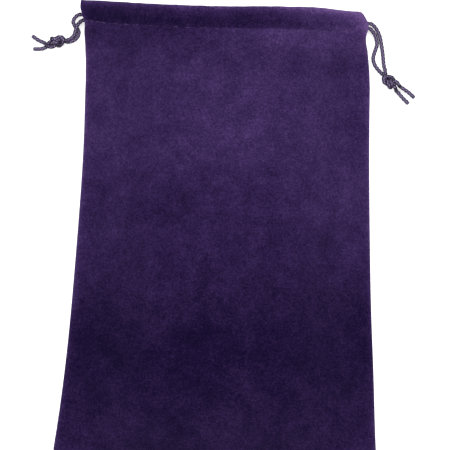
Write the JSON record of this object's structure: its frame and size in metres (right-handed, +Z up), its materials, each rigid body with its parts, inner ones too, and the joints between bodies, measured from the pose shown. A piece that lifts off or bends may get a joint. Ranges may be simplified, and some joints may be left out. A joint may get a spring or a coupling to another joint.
{
  "type": "drawstring dice bag",
  "caption": "Flat velvet bag for dice with a stitched hem round its mouth and two drawcords that close it from opposite sides, each ending in a knot and two tails.",
  "frame": {"origin": "middle of the back panel's flat underside, half way between the mouth and the bottom seam", "axes": "+X to the bag's right, +Y towards the mouth, +Z up out of the front panel"},
  "size_m": [0.1994, 0.231, 0.0261],
  "materials": {
    "velvet_front": "short-pile velvet, deep purple",
    "velvet_back": "short-pile velvet, deep purple",
    "seam_thread": "matt polyester thread",
    "stitch_thread": "matt polyester thread",
    "cord": "braided nylon with a soft shine",
    "cord_tip": "melted nylon, slightly shiny"
  },
  "bodies": {
    "bag": {"back_panel": "velvet_back", "front_panel": "velvet_front", "left_side_seam": "seam_thread", "right_side_seam": "seam_thread", "bottom_seam": "seam_thread", "front_casing_stitches": "stitch_thread", "back_casing_stitches": "stitch_thread"},
    "left_corner": {"left_seam_tack": "seam_thread"},
    "right_corner": {"right_seam_tack": "seam_thread"},
    "left_cord": {"left_cord_loop": "cord"},
    "right_cord": {"right_cord_loop": "cord"},
    "left_end": {"left_cord_neck": "cord", "left_knot": "cord", "left_tail_upper": "cord", "left_tail_lower": "cord", "left_tips": "cord_tip"},
    "right_end": {"right_cord_neck": "cord", "right_knot": "cord", "right_tail_upper": "cord", "right_tail_lower": "cord", "right_tips": "cord_tip"}
  },
  "joints": [
    {"name": "left_cord_pull", "type": "slide", "parent": "bag", "child": "left_cord", "axis": [-1, 0, 0], "range_m": [0, 0.035], "deforming": ["left_cord_loop"]},
    {"name": "right_cord_pull", "type": "slide", "parent": "bag", "child": "right_cord", "axis": [1, 0, 0], "range_m": [0, 0.035], "deforming": ["right_cord_loop"]},
    {"name": "right_corner_gather", "type": "slide", "parent": "bag", "child": "right_corner", "axis": [-1, 0, 0], "range_m": [0, 0.035]},
    {"name": "left_corner_gather", "type": "slide", "parent": "bag", "child": "left_corner", "axis": [1, 0, 0], "range_m": [0, 0.035]},
    {"name": "left_end_swing", "type": "hinge", "parent": "left_cord", "child": "left_end", "pos_m": [-0.0754, 0.1082, 0.0035], "axis": [0, 0, -1], "range_deg": [0, 75]},
    {"name": "right_end_swing", "type": "hinge", "parent": "right_cord", "child": "right_end", "pos_m": [0.0754, 0.1111, 0.0035], "axis": [0, 0, 1], "range_deg": [0, 75]}
  ],
  "couplings": [
    {"joint": "right_corner_gather", "follows": "left_cord_pull", "ratio": 1},
    {"joint": "left_corner_gather", "follows": "right_cord_pull", "ratio": 1}
  ]
}
